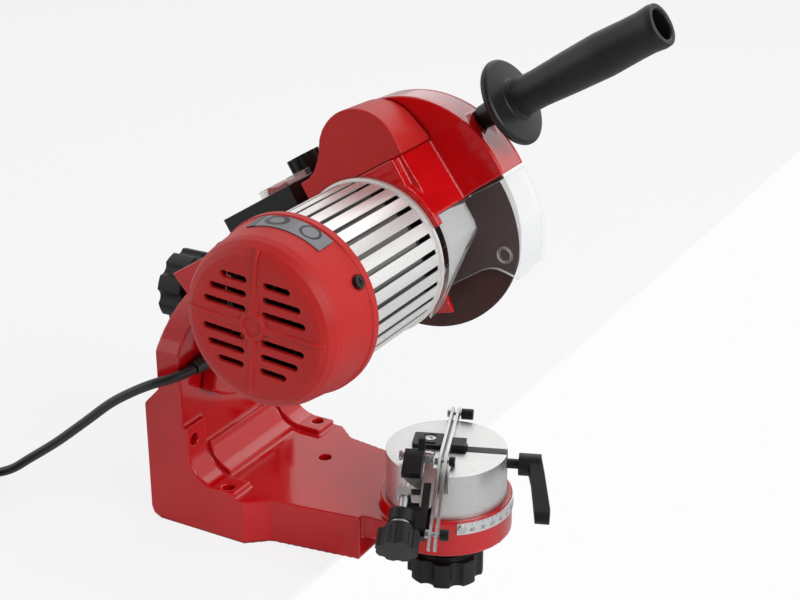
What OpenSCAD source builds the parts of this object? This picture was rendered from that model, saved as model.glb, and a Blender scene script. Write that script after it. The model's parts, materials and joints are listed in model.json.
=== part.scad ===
// Electric chainsaw sharpener: bench stand, swivelling chain vise, tilting head with a grinding arm.
// Frame: millimetres, +Z up, z = 0 is the bench, origin midway between the two bench bolt holes,
// +X from the upright wall to the operator, +Y to the far side.

/* [Stand] */
// half width of the foot and the wall
stand_half = 68; // [66:0.5:72]
// top of the foot above the bench
slab_top = 34; // [30:0.5:38]
// distance between the bench bolt holes
bolt_pitch = 120; // [114:1:122]
// diameter of the bench and wall bolt holes
bolt_hole = 9; // [6.5:0.5:10]

/* [Vise] */
// distance of the swivel axis in front of the bench bolts
table_x = 143; // [138:1:150]
// diameter of the turntable
table_d = 86; // [82:1:90]
// swivel angle of the vise as shown
vise_rest = 21; // [-30:1:30]
// gap between the two chain rails
rail_gap = 2.2; // [1.8:0.1:2.6]

/* [Head] */
// height of the tilt axis and of the arm pin
pivot_z = 158; // [156:0.5:162]
// arm angle above level as shown
arm_raise = 32.3; // [25:0.1:36]
// arm pin diameter
pin_d = 12; // [10:0.5:13]
// distance from the arm pin to the wheel axis
motor_u = 148.5; // [147:0.5:152]

/* [Motor and wheel] */
// grinding wheel diameter
wheel_d = 145; // [140:1:148]
// grinding wheel thickness
wheel_t = 3.2; // [3.2:0.1:6]
// grinding wheel bore
bore_d = 22.2; // [20:0.1:23]
// motor housing diameter over the fins
motor_d = 101.6; // [98:0.2:104]
// motor shaft diameter
shaft_d = 12; // [10:0.5:13]

/* [Hidden] */
$fn = 64;
e = 0.01;
run = 0.05;      // radial clearance of a running fit
gap = 0.3;       // clearance between parts that only pass each other
wall_x0 = -65;   // outer face of the wall
wall_x1 = -32;   // inner face of the wall
head_x0 = -52;   // outer face of the wall head
arch_z = 88;     // centre height of the wall arch
arch_r = 84;     // radius of the wall arch
fil_r = 26;      // corner radius between wall and foot
table_y = 5;
table_r = table_d / 2;
ring_r = table_r + 4.2;
ring_z0 = 17;
ring_z1 = slab_top + 9.6;
table_z1 = ring_z1 + 33.3;
stud_d = 12;
stud_r = stud_d / 2;
rail_z = table_z1 + 7.1;      // top of the level part of the rails
ramp = 32;                    // slope of the lower rail ends
wheel_y = 11.3;
wheel_r = wheel_d / 2;
pivot_x = -6;
motor_r = motor_d / 2;
shaft_r = shaft_d / 2;
deck_w = 49.1;
mount_y = -56;                // plane where the motor housing meets the arm
cap_y = -145;                 // plane where the end cap meets the housing
cap_end = -190;
ear_in = 18;
ear_out = 28;
hub_r = pin_d / 2 + 7;
wall_hole_z = slab_top + 35;

module along_y(y0, y1) translate([0, y1, 0]) rotate([90, 0, 0]) linear_extrude(y1 - y0) children();
module along_x(x0, x1) translate([x0, 0, 0]) rotate([90, 0, 90]) linear_extrude(x1 - x0) children();
module rod_y(y0, y1, r) along_y(y0, y1) circle(r);
module rod_x(x0, x1, r) along_x(x0, x1) circle(r);
module ring_y(y0, y1, r, ri) along_y(y0, y1) difference() { circle(r); circle(ri); }
module at_arm() translate([pivot_x, 0, pivot_z]) rotate([0, -arm_raise, 0]) children();
module at_motor() at_arm() translate([motor_u, 0, 0]) children();
// Vise frame: first coordinate a runs towards the operator's near side, second b along the clamp rod.
module at_vise() translate([table_x, table_y, 0]) rotate([0, 0, vise_rest - 90]) children();
// Ramp frame inside the vise frame: s down the slope, b across, n off the slope.
module at_ramp() at_vise() translate([27, 0, rail_z]) rotate([0, ramp, 0]) children();
module sheet_v(b0, b1) along_y(b0, b1) children();
module knob_2d(r, lobes) difference() {
  circle(r);
  for (i = [0 : lobes - 1]) rotate(i * 360 / lobes) translate([r + r * 0.10, 0]) circle(r * 0.22, $fn = 24);
}
module tilt_hole() translate([0, 0, pivot_z]) children();

// ---------------------------------------------------------------- stand
module foot_plan() polygon([[wall_x0, -stand_half], [18, -stand_half], [33, -stand_half + 12.4], [101, -45.8],
  [101, 45.8], [33, stand_half - 12.4], [18, stand_half], [wall_x0, stand_half]]);
module wall_front() intersection() {
  translate([0, arch_z]) circle(arch_r, $fn = 128);
  translate([-stand_half, -1]) square([2 * stand_half, 200]);
}
module wall_front_full() union() {
  wall_front();
  translate([-stand_half, 0]) square([2 * stand_half, arch_z]);
}
module wall_side() polygon([[wall_x0, 8], [wall_x0 + 2.4, 2.4], [wall_x0 + 8, 0], [wall_x1 + fil_r, 0],
  [wall_x1 + fil_r, slab_top], for (t = [270 : -15 : 180]) [wall_x1 + fil_r + fil_r * cos(t),
  slab_top + fil_r + fil_r * sin(t)], [wall_x1, 180], [head_x0, 180], [head_x0, 107], [wall_x0, 93]]);
module pad_side(x1, z1) polygon([[wall_x1 - 1, slab_top - 1], [x1, slab_top - 1], [x1, slab_top + 4],
  if (x1 > wall_x1 + fil_r) [wall_x1 + fil_r, slab_top + 4], for (t = [262 : -8 : 188])
  if (wall_x1 + fil_r + 22 * cos(t) < x1 && slab_top + 26 + 22 * sin(t) < z1)
  [wall_x1 + fil_r + 22 * cos(t), slab_top + 26 + 22 * sin(t)],
  if (z1 > slab_top + 26) [wall_x1 + 4, slab_top + 26], [wall_x1 + 4, z1], [wall_x1 - 1, z1]]);
module base_casting() color("#c4161c") difference() {
  union() {
    intersection() {
      along_x(wall_x0, wall_x1 + fil_r) wall_front_full();
      along_y(-stand_half, stand_half) wall_side();
    }
    linear_extrude(slab_top) difference() {
      foot_plan();
      translate([wall_x0 - 1, -stand_half - 1]) square([wall_x1 + fil_r - wall_x0, 2 * stand_half + 2]);
    }
    along_y(-41, 41) pad_side(wall_x1 + 20.5, slab_top + 24);
    for (s = [-1, 1]) {
      along_y(s > 0 ? 46 : -stand_half + e, s > 0 ? stand_half - e : -46) pad_side(10, slab_top + 47);
    }
    translate([table_x, table_y, ring_z0]) cylinder(r = ring_r, h = ring_z1 - ring_z0, $fn = 96);
    hull() {
      translate([100, -45.8 + 4, ring_z0]) cube([1, 83.6, slab_top - ring_z0]);
      translate([table_x, table_y, ring_z0]) cylinder(r = ring_r - 2, h = slab_top - ring_z0);
    }
  }
  for (s = [-1, 1]) {
    translate([0, s * bolt_pitch / 2, -1]) cylinder(d = bolt_hole, h = slab_top + 10);
    translate([0, s * bolt_pitch / 2, wall_hole_z]) rod_x(wall_x0 - 1, wall_x1 + 10, bolt_hole / 2);
  }
  translate([32.8, 18.3, -1]) cylinder(d = 9.5, h = slab_top + 10);
  // hollow underside
  difference() {
    translate([0, 0, -1]) linear_extrude(slab_top - 8) offset(delta = -8) difference() {
      foot_plan();
      translate([wall_x0 - 1, -stand_half - 1]) square([28, 2 * stand_half + 2]);
    }
    for (s = [-1, 1]) translate([0, s * bolt_pitch / 2, -2]) cylinder(d = bolt_hole + 12, h = slab_top + 2);
    translate([32.8, 18.3, -2]) cylinder(d = 20, h = slab_top + 2);
    for (s = [-22, 22]) translate([-45, s - 3, -2]) cube([150, 6, slab_top]);
  }
  // seat for the turntable spigot and the stud
  translate([table_x, table_y, ring_z1 - 8]) cylinder(r = 30 + gap, h = 9);
  translate([table_x, table_y, 0]) cylinder(r = stud_r + run, h = ring_z1);
  translate([table_x, table_y, ring_z0 - 1]) difference() {
    cylinder(r = ring_r - 8, h = 11);
    cylinder(r = 14, h = 12);
  }
  // tilt stud hole
  tilt_hole() rod_x(head_x0 - 1, wall_x1 + 1, stud_r + run);
}
module angle_scale() color("#d9d9d6") translate([table_x, table_y, slab_top + 0.2])
  rotate([0, 0, -53]) rotate_extrude(angle = 106, $fn = 128)
  translate([ring_r + 0.03, 0]) square([0.7, 8.6]);
module scale_screws() color("#b8b8b8") for (t = [-49, 49]) translate([table_x, table_y, slab_top + 4.5])
  rotate([0, 0, t]) rotate([0, 90, 0]) {
    translate([0, 0, ring_r + 0.75]) cylinder(r = 3, h = 1.4, $fn = 32);
  }

// ---------------------------------------------------------------- vise
module swivel_stud() color("#9a9a9a") translate([table_x, table_y, 0]) {
  translate([0, 0, -14]) cylinder(r = stud_r, h = ring_z1 + 24, $fn = 48);
}
module swivel_knob() color("#1a1a1a") translate([table_x, table_y, 0]) difference() {
  union() {
    translate([0, 0, -22]) linear_extrude(19) knob_2d(27.5, 8);
    translate([0, 0, -22 + 19]) cylinder(r = 22, h = 3);
    cylinder(r = 12, h = ring_z0 - 0.3);
  }
  translate([0, 0, -23]) cylinder(r = stud_r + run, h = 60, $fn = 48);
}
module turntable() color("#c9cacc") difference() {
  translate([table_x, table_y, 0]) {
    translate([0, 0, ring_z1]) cylinder(r = table_r, h = table_z1 - ring_z1, $fn = 128);
    translate([0, 0, ring_z1 - 7]) cylinder(r = 30, h = 8, $fn = 96);
  }
  translate([table_x, table_y, 0]) translate([0, 0, ring_z1 - 8]) cylinder(r = stud_r, h = 18, $fn = 48);
  // groove for the clamp rod
  at_vise() translate([-4.2, 13.6, table_z1 - 13]) cube([8.4, 60, 20]);
  at_vise() translate([-7.5, 2.4, table_z1 - 13]) cube([15, 11.6, 20]);
  // relief under the ramp end of the rails
  at_ramp() translate([-40, -27, -9]) cube([140, 33, 60]);
}
rail_pts = [[-47, rail_z - 3.5], [26, rail_z - 3.6], [75, rail_z - 32.9]];
head_b = -5.2;        // outer face of the rail bolts' heads
bolt_head = 3;
module rail_2d() {
  r = rail_z;
  polygon([[-52, r - 7], [-52, r - 1.5], [-50.5, r], [27, r], [86, r - 59 * tan(ramp)],
    [84, r - 59 * tan(ramp) - 4], [79, r - 59 * tan(ramp) - 5], [24, r - 7]]);
}
module fixed_rail() color("#c2c3c5") at_vise() difference() {
  along_y(-rail_gap / 2 - 2 + 0.6, -rail_gap / 2 + 0.6) rail_2d();
  for (p = rail_pts) translate([p[0], 0, p[1]]) rod_y(-10, 10, 1.5 + gap);
}
module moving_rail() color("#c2c3c5") at_vise() difference() {
  along_y(rail_gap / 2 + 0.6, rail_gap / 2 + 2.6) rail_2d();
  for (p = rail_pts) translate([p[0], 0, p[1]]) rod_y(-10, 10, 1.5 + gap);
}
module rail_bolts() color("#b5b5b5") at_vise() for (p = rail_pts) translate([p[0], 0, p[1]]) {
  rod_y(-4, 9, 1.5);
  along_y(head_b, -rail_gap / 2 - 1.4) circle(bolt_head, $fn = 6);
}
module rail_caps() color("#1c1c1c") at_vise()
  for (c = [[0, 13.6, 4], [1, 9, 3.3], [2, 11, 4]])
    translate([rail_pts[c[0]][0], 0, rail_pts[c[0]][1]]) difference() {
      rod_y(rail_gap / 2 + 2.6 + 1.2, c[1], c[2]);
      rod_y(0, 9, 1.5);
    }
module clamp_block() color("#1b1b1b") at_vise() difference() {
  union() {
    translate([-7, rail_gap / 2 + 2.6, table_z1 + 0.3]) cube([12, 13.4 - rail_gap / 2 - 2.6, 4.8]);
    translate([-7, 3.7, table_z1 - 12.5]) cube([14, 9, 13]);
  }
  translate([0, 0, table_z1 - 8.9]) rod_y(6, 14, 3.5 + run);
}
module clamp_rod() color("#1e1e1e") at_vise() translate([0, 0, table_z1 - 8.9]) {
  rod_y(6.5, 60, 3.5);
}
module clamp_lever() color("#1d1d1d") at_vise() difference() {
  union() {
    translate([0, 0, table_z1 - 8.9]) rod_y(51, 66.5, 8);
    hull() {
      translate([0, 0, table_z1 - 8.9]) rod_y(58, 66.5, 7);
      translate([14, 0, table_z1 - 13]) rod_y(61, 70, 5);
    }
    hull() {
      translate([14, 0, table_z1 - 13]) rod_y(61, 70, 5);
      translate([42, 0, table_z1 - 25]) rod_y(66, 76, 5.5);
    }
  }
  translate([0, 0, table_z1 - 8.9]) rod_y(40, 60, 3.5);
}
module index_plate() color("#202020") at_vise() difference() {
  translate([-15, -24.5, table_z1]) linear_extrude(3.4) offset(2) offset(-2) square([19, 21.7]);
  translate([-8.4, -13, table_z1 - 1]) cylinder(d = 9, h = 8);
  translate([-0.2, -20, table_z1 + 1.4]) cube([2.4, 12, 6]);
}
module index_screw() color("#8c8c8c") at_vise() translate([-8.4, -13, table_z1]) difference() {
  cylinder(r = 4.4, h = 2.6, $fn = 48);
  translate([0, 0, 1.2]) cylinder(r = 2.3, h = 3, $fn = 6);
}
module stop_slide() color("#9b9c9e") at_ramp() difference() {
  union() {
    translate([-5, -11.6, -4]) cube([41, 8.8, 2]);
    translate([36, -7.2, -4]) cylinder(r = 4.4, h = 2);
    along_y(-11.6, -7.6) hull() { translate([0, -1.5]) circle(4.2); translate([6, -3.5]) circle(0.5); }
    translate([30, -26, -3.9]) cube([6, 16, 2.1]);
    translate([30, -26.2, -3.9]) cube([6, 9.4, 13.4]);
  }
  translate([0, 0, -1.5]) rod_y(-20, 0, 2.5);
  translate([0, 0, -1.5]) rod_y(-7.6, 0, 3.7);
  translate([0, -21.5, 4.5]) rod_x(20, 80, 3 + gap);
  // notch past the head of the middle rail bolt
  translate([-6, head_b - gap, -5]) cube([14, 8, 4]);
}
module pawl_pin() color("#c9c9c9") at_ramp() translate([0, 0, -1.5]) {
  rod_y(-28, -7, 2.5);
  ring_y(-29.6, -27.4, 3.6, 1);
  ring_y(-7.6 + e, -6, 3.6, 1);
}
module stop_pawl() color("#1b1b1b") at_ramp() difference() {
  union() {
    along_y(-25.6, -12.2) polygon([[-3, 3.4], [-4, -1], [-3, -4], [3, -5.2], [17, -1.2], [20, 3], [19, 8], [4, 6]]);
    along_y(-17, -12.2) polygon([[-2, 2], [-9, 7], [-12, 5.6], [-6, 0]]);
  }
  translate([0, 0, -1.5]) rod_y(-30, 0, 2.5 + run);
}
module stop_body() color("#191919") difference() {
  union() {
    at_vise() along_y(-24, -4.9) polygon([[45, rail_z - 11], [77, rail_z - 31], [70, rail_z - 42],
      [45, rail_z - 28]]);
    at_vise() along_y(-24, -rail_gap / 2 - 1.4) polygon([[45, rail_z - 18], [72, rail_z - 35],
      [68, rail_z - 40], [45, rail_z - 28]]);
    at_ramp() translate([0, -21.5, 4.5]) rod_x(47, 55, 8.5);
    at_ramp() translate([47, -28, -8]) cube([8, 13, 10]);
  }
  at_ramp() translate([10, -14, -4.4]) cube([34, 12, 2.8]);
  at_ramp() translate([10, -30, -4.4]) cube([33, 20, 20]);
  at_ramp() translate([0, -21.5, 4.5]) {
    rod_x(30, 80, 3 + run);
    rod_x(55.1, 80, 10.2);
    rod_x(62.5, 80, 15.2);
  }
  at_vise() translate([rail_pts[2][0], 0, rail_pts[2][1]]) rod_y(-9, 0, bolt_head + gap);
}
module stop_screw() color("#a8a8a8") at_ramp() translate([0, -21.5, 4.5]) {
  rod_x(26, 76, 3);
}
module stop_spring() color("#b9b9b9") at_ramp() translate([0, -21.5, 4.5])
  along_x(55.2, 57.4) difference() { circle(7); circle(3 + gap); }
module stop_knob() color("#161616") at_ramp() translate([0, -21.5, 4.5]) difference() {
  union() {
    along_x(63, 76.5) knob_2d(14.5, 8);
    rod_x(57.8, 63.5, 9.5);
  }
  rod_x(50, 76, 3);
}

// ---------------------------------------------------------------- head
module tilt_carrier() color("#c4161c") difference() {
  union() {
    tilt_hole() along_x(wall_x1 + 0.3, -20) union() {
      circle(26);
      intersection() { circle(71, $fn = 96); polygon([[-30, -5], [30, -5], [46, -60], [0, -78], [-46, -60]]); }
    }
    hull() for (y = [gland_y + 6, -24]) translate([0, y, gland_z]) rod_x(wall_x1 + 0.3, -20, 5.6);
    translate([gland_x, 0, gland_z]) rod_y(gland_y + 0.02, -24, 5.6);
    for (s = [-1, 1]) along_y(s > 0 ? ear_in : -ear_out, s > 0 ? ear_out : -ear_in)
      translate([0, pivot_z]) hull() {
        translate([pivot_x, 0]) circle(hub_r);
        translate([-24, -16]) square([4, 32]);
      }
  }
  translate([pivot_x, 0, pivot_z]) rod_y(-60, 60, pin_d / 2);
  tilt_hole() rod_x(-70, -24, stud_r);
  translate([gland_x, 0, gland_z]) rod_y(-60, -30, cord_r + 0.6);
}
module tilt_stud() color("#9a9a9a") tilt_hole() rod_x(-76, -24, stud_r);
module tilt_washer() color("#b0b0b0") tilt_hole() along_x(head_x0 - 2.6, head_x0 - 0.2)
  difference() { circle(14); circle(stud_r + run); }
module tilt_knob() color("#181818") tilt_hole() difference() {
  union() {
    along_x(-80, -60) knob_2d(27.5, 8);
    rod_x(-60.5, head_x0 - 2.9, 13);
  }
  rod_x(-77, -50, stud_r + run);
}
module arm_pin() color("#a4a4a4") translate([pivot_x, 0, pivot_z]) {
  rod_y(-ear_out - 4, ear_out + 4, pin_d / 2);
  ring_y(-ear_out - 6, -ear_out, pin_d / 2 + 3, 2);
  ring_y(ear_out, ear_out + 6, pin_d / 2 + 3, 2);
}
guard_y = -12;                // front face of the wheel guard
flange_r = motor_r + 5.5;
shield_r = motor_r - 5.3;     // motor end shield, where it meets the housing
nose_r = 18.4;                // nose of the end shield, which holds the front bearing
guard_c = [motor_u + 15.1, 16.8];
back_c = [motor_u + 4.5, 11.4];
module guard_front() hull() { translate(guard_c) circle(72.3, $fn = 96); translate([motor_u, 0]) circle(79); }
module guard_back() hull() { translate(back_c) circle(77.4, $fn = 96); translate([motor_u, 0]) circle(79); }
// The casting ends above these lines: right of the motor the clear guard takes over.
module guard_clip() polygon([[motor_u + 120, 10], [motor_u + 57, 6.2], [motor_u + 54, 5], [motor_u + 12, 5],
  [motor_u + 4, -60], [motor_u - 55, -40], [motor_u - 75, -30], [motor_u - 100, 0], [motor_u - 100, 120],
  [motor_u + 120, 120]]);
module flange_clip(tip) polygon([[motor_u + 60, tip], [motor_u + 48, tip], [motor_u + 48, 5], [motor_u + 12, 5],
  [motor_u + 4, -60], [motor_u - 60, -60], [motor_u - 60, deck_w], [motor_u + 60, deck_w]]);
module flange_2d() union() {
  translate([motor_u, 0]) circle(motor_r - 1, $fn = 96);
  intersection() {
    translate([motor_u, 0]) circle(flange_r, $fn = 96);
    translate([motor_u - flange_r, -1]) square([2 * flange_r, flange_r + 1]);
  }
  translate([motor_u - flange_r, 0]) square([flange_r + 48, deck_w]);
}
module arm_casting() color("#c4161c") at_arm() difference() {
  union() {
    rod_y(-ear_in + 0.5, ear_in - 0.5, hub_r);
    along_y(-ear_in + 0.5, ear_in - 0.5) polygon([[-hub_r + 3, 6], [6, 34], [6, deck_w],
      [motor_u - 55, deck_w], [motor_u - 40, -44], [30, -16], [0, -hub_r]]);
    along_y(-45, -30) polygon([[-19, 29.5], [-22, deck_w], [20, deck_w], [20, 26]]);
    along_y(-45, ear_in - 0.5) polygon([[13, 28], [13, deck_w], [motor_u + 40, deck_w],
      [motor_u - 20, -20], [70, 4], [40, 24]]);
    // flange box, whose right side is the bare panel
    along_y(-49, guard_y) polygon([[motor_u - 64, deck_w], [motor_u + 50.8, deck_w], [motor_u + 54, 5],
      [motor_u + 12, 5], [motor_u - 8, -34], [motor_u - 50, -24], [motor_u - 66, 0]]);
    // motor flange
    along_y(mount_y, -30) intersection() { flange_2d(); flange_clip(5); }
    along_y(mount_y, -50 - gap) intersection() { flange_2d(); flange_clip(-1); }
    // upper half of the wheel guard, flaring towards the back
    intersection() {
      hull() {
        along_y(guard_y, guard_y + 2) guard_front();
        along_y(23, 25) guard_back();
      }
      along_y(guard_y - 1, 26) guard_clip();
    }
    // boss for the handle, with a gusset down the guard's rim
    translate([motor_u + 58, -1, 33]) cube([22.3, 20, 19]);
    hull() {
      translate([motor_u + 60, -1, 33]) cube([20.3, 20, 2]);
      translate([motor_u + 85.5, -9, 12]) sphere(r = 2, $fn = 16);
    }
    hull() {
      translate([motor_u + 60, -1, 33]) cube([20.3, 2, 19]);
      for (p = [[79.5, 45], [84, 30], [85.5, 12]])
        translate([motor_u + p[0], -9.5, p[1]]) sphere(r = 2, $fn = 16);
    }
    translate([motor_u - 61.5, 10, 45]) cylinder(r = 9, h = 15);
  }
  // wheel space and its opening
  translate([motor_u, 0, 0]) rod_y(-1, 30, wheel_r + 3);
  translate([motor_u, 0, 0]) rod_y(-9, 0, 40);
  along_y(-8, 30) polygon([[motor_u - 60, -46], [motor_u, 0], [motor_u + 90, 0], [motor_u + 90, -90],
    [motor_u - 60, -90]]);
  // hollow behind the flange for the motor's end shield
  translate([motor_u, 0, 0]) rod_y(-60, -24, motor_r - 5);
  translate([motor_u, 0, 0]) rod_y(-30, -8, nose_r + gap);
  // capacitor pocket under the deck cover and the switch recess
  translate([motor_u - 20, -50, deck_w - 6]) cube([62, 32, 20]);
  translate([44, -40, deck_w - 12]) cube([60, 30, 20]);
  rod_y(-60, 60, pin_d / 2 + run);
  // handle stud hole
  translate([0, 9.5, 45.5]) rod_x(motor_u + 65.5, motor_u + 100, 4);
  // depth screw hole
  translate([motor_u - 61.5, 10, 51.5]) cylinder(r = 4 + gap, h = 50, $fn = 40);
}
module guard_cover() color("#c4161c") at_arm() difference() {
  intersection() {
    along_y(25, 27) guard_back();
    along_y(24, 28) guard_clip();
  }
  along_y(20, 30) polygon([[motor_u - 60, -46], [motor_u, -6], [motor_u + 95, -6], [motor_u + 95, -90],
    [motor_u - 60, -90]]);
}
cover_pts = [[-72, 20], [-20, 84], [50, 66], [76, 13]];
boss_at = [61.5, -39];
module clear_2d() intersection() {
  circle(84.5, $fn = 96);
  polygon([[8, -42.8], [40, -42], [46, -43], [51, -45.5], [55, -49.5], [59, -54], [62, -58], [66, -62],
    [120, -62], [120, 5.2], [57.6, 5.2], [57.6, 4.4], [13, 4.4]]);
}
// The blister carries the line of the flange box down beside the motor, to the crease in the front sheet.
module blister_near(o) intersection() {
  circle(motor_r + 3.4 - o, $fn = 96);
  polygon([[13 + o, 4.4 + o], [60, 4.4 + o], [60, -60], [6 + o, -54]]);
}
module blister_far(o) offset(delta = -o) polygon([[13, 4.4], [52.6, 4.4], [52.8, -11], [51.5, -16],
  [47.4, -19.5], [40.3, -24], [29.8, -27.2], [16, -31.5], [9, -33]]);
module blister(o) hull() {
  along_y(-50, -49) blister_near(o);
  along_y(guard_y - 1, guard_y) blister_far(o);
}
module clear_guard() color([0.85, 0.9, 0.92, 0.5]) at_motor() difference() {
  union() {
    along_y(guard_y, guard_y + 2.5) clear_2d();
    along_y(guard_y, 24.4) difference() {
      clear_2d();
      circle(82, $fn = 96);
    }
    blister(0);
    along_y(guard_y - 0.8, guard_y) translate(boss_at) difference() { circle(5.4); circle(4.2); }
  }
  blister(1.8);
  along_y(-50.5, -48.8) blister_near(1.8);
  along_y(-52, guard_y - e) polygon([[-20, 10], [17.5, 10], [17.5, -20], [12, -60], [-20, -60]]);
  along_y(guard_y - 1.2, 26) blister_far(1.8);
  rod_y(-27, guard_y - e, nose_r + 1);
  rotate([90, 0, 0]) translate([0, 0, 25]) cylinder(r1 = nose_r + 3.1, r2 = shield_r + 1.1, h = 28);
}
cap_c = [27, 60.7];           // centre of the capacitor cover's round, at the front
cap_cb = [19.5, 60.5];        // and where it meets the guard
cap_rad = 29.8;
module hump_skirt(o) polygon([[-24.5 + o, deck_w], [-24.5 + o, 62.3 - o], [-17.5, 62.4 - o], [-10, 64.8 - o],
  [-3.5 + o, 70.6 - o], [6, 80 - o], [10, deck_w]]);
module hump_front(o) difference() {
  union() {
    translate(cap_c) circle(cap_rad - o, $fn = 64);
    translate([cap_c[0] - 20, deck_w]) square([20 + cap_rad - 0.4 - o, 12]);
  }
  translate([-100, deck_w - 100]) square([200, 100]);
}
module hump_back(o) difference() {
  union() {
    translate(cap_cb) circle(cap_rad - 0.6 - o, $fn = 64);
    translate([cap_cb[0] - 18, deck_w]) square([18 + 32.5 - o, 4]);
  }
  translate([-100, deck_w - 100]) square([200, 100]);
}
module hump(o) {
  hull() {
    along_y(mount_y + o, mount_y + o + 1) hump_front(o);
    along_y(guard_y - 1.3 - o, guard_y - gap - o) hump_back(o);
  }
  along_y(mount_y + o, guard_y - gap - o) hump_skirt(o);
}
module capacitor_cover() color("#c8312b") at_motor() difference() {
  hump(0);
  translate([0, 0, -e]) hump(3);
}
module arm_screws() color("#9c9c9c") at_motor() {
  for (p = cover_pts) translate([p[0], 0, p[1]]) rod_y(27, 29.5, 3.2);
}
module capacitor() color("#e4e2da") at_motor() translate([26, 0, 63]) {
  rod_y(mount_y + 6.5, -27, 15);
  translate([-4, -30, -20]) cube([8, 2, 8]);
}

// ---------------------------------------------------------------- motor
fin_end = -61.5;              // where the grooves stop short of the flange
module motor_housing() color("#c7c8ca") at_motor() difference() {
  union() {
    rod_y(cap_y, -58, motor_r, $fn = 96);
    rod_y(-58.5, mount_y, motor_r + 1.4, $fn = 96);
  }
  rod_y(cap_y - 1, mount_y + 1, motor_r - 6.5, $fn = 96);
  for (i = [0 : 29]) rotate([0, 4 - 12 * i, 0]) {
    translate([motor_r - 3, cap_y - 1, -1.6]) cube([6, fin_end - cap_y + 1, 3.2]);
    translate([motor_r - 9, fin_end - 10.5, -1.6]) cube([10, 10.5, 3.2]);
  }
}
module stator() color("#7d7f82") at_motor() along_y(-132, -66) difference() {
  circle(motor_r - 6.5, $fn = 96);
  circle(26.5);
  for (i = [0 : 11]) rotate(i * 30) translate([31, 0]) circle(4, $fn = 24);
}
module windings() color("#b3622a") at_motor() for (y = [[-144, -132.02], [-65.98, -60]])
  ring_y(y[0], y[1], 40, 28);
cap_turn = 4.5;               // the cap sits turned by this much from the bench's vertical
cap_mid = [-0.6, 1.7];
module on_cap() rotate(-arm_raise - cap_turn) translate(cap_mid) children();
module cap_slots() on_cap() for (s = [-1, 1], dz = [-27, -18, -8.8, 8.8, 18, 27]) {
  w = sqrt(36 * 36 - dz * dz) - 5.6;
  translate([s > 0 ? 5.6 : -5.6 - w, dz - 2.1]) offset(2, $fn = 24) offset(-2) square([w, 4.2]);
}
module end_cap() color("#c8312b") at_motor() difference() {
  union() {
    translate([0, cap_y, 0]) rotate([90, 0, 0]) rotate_extrude($fn = 128) polygon([[0, 41.6], [0, 45], [40, 45],
      [44.5, 44], [48.5, 41.5], [51.3, 37.5], [52.6, 33], [55.9, 6], [57, 5.4], [57, 0], [motor_r + 0.2, 0],
      [motor_r + 0.2, 5], [motor_r - 2.5, 9], [48.5, 36], [44, 41.6]]);
    // bearing seat inside, ribs and ring outside
    rod_y(cap_end + 3, cap_end + 14, 10);
    intersection() {
      translate([0, cap_y, 0]) rotate([90, 0, 0]) rotate_extrude($fn = 64)
        polygon([[0, 43], [0, 46.5], [9, 46.4], [47, 43.2], [44, 42]]);
      along_y(cap_end - 3, cap_end + 3) on_cap() for (r = [0, 90]) rotate(r) square([94, 4.6], center = true);
    }
    along_y(cap_end - 1.9, cap_end + 1) on_cap() circle(8.6);
  }
  along_y(cap_end - 2, cap_end + 8) cap_slots();
  rod_y(-182, -170, 4.2);
  along_y(cap_end - 3, cap_end - 0.6) on_cap() circle(6.2);
  for (t = screw_t) rotate([0, -t, 0]) translate([0, -155, 0]) { rod_x(54.3, 62, 3.8); rod_x(54.6, 62, 5); }
}
screw_t = [-4, 116, 236];
module cap_screws() color("#222222") at_motor() for (t = screw_t) rotate([0, -t, 0])
  translate([0, -155, 0]) difference() {
    rod_x(54.3, 57.4, 3.8);
    for (r = [0, 90]) rotate([r, 0, 0]) translate([56.5, -2.3, -0.5]) cube([2, 4.6, 1]);
  }
module rating_plate() color("#c9c9cb") at_motor() intersection() {
  translate([0, cap_y, 0]) rotate([90, 0, 0]) rotate_extrude($fn = 128) polygon([[55.84, 7], [56.4, 7],
    [54.75, 21], [54.13, 21]]);
  rotate([0, arm_raise, 0]) along_y(-175, -140) polygon([[0, 0], [-38, 100], [66, 100]]);
}
module end_shield() color("#55585b") at_motor() rotate([90, 0, 0]) rotate_extrude($fn = 96)
  polygon([[nose_r - 3, -mount_y - 1], [shield_r - 4, -mount_y], [shield_r, -mount_y], [shield_r, -mount_y - 3],
    [nose_r + 3, 26], [nose_r, 24], [nose_r, -guard_y + 0.5], [shaft_r + 3, -guard_y + 0.5], [shaft_r + 3, 13],
    [14, 13], [14, 22.3], [10, 22.3], [10, 25], [nose_r - 3, 28]]);
module motor_bearings() color("#8f8f8f") at_motor() for (y = [[-176, -168], [-22, -13]])
  ring_y(y[0], y[1], y[0] < -100 ? 10 : 14, y[0] < -100 ? 4.2 : shaft_r);
module motor_shaft() color("#a9a9a9") at_motor() {
  rod_y(-150, wheel_y + 12.5, shaft_r - run);
  rod_y(-181, -150, 4.15);
}
module rotor() color("#6e7073") at_motor() ring_y(-130, -68, 26, shaft_r - run);
module fan() color("#2a2a2a") at_motor() {
  ring_y(-167.5, -158, 9, 4.15);
  ring_y(-160, -158, 36, 8);
  for (i = [0 : 11]) rotate([0, i * 30, 0]) translate([8, -167.5, -1]) cube([28, 9, 2]);
}
module wheel_flanges() color("#b4b4b4") at_motor() {
  ring_y(wheel_y - wheel_t / 2 - 6, wheel_y - wheel_t / 2, 22, shaft_r - run);
  ring_y(wheel_y - wheel_t / 2 - e, wheel_y, bore_d / 2 - 0.02, shaft_r - run);
  ring_y(wheel_y + wheel_t / 2, wheel_y + wheel_t / 2 + 4, 22, shaft_r - run);
}
module grinding_wheel() color("#6b3a2a") at_motor()
  along_y(wheel_y - wheel_t / 2, wheel_y + wheel_t / 2) difference() {
    circle(wheel_r, $fn = 128);
    circle(bore_d / 2);
  }
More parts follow.
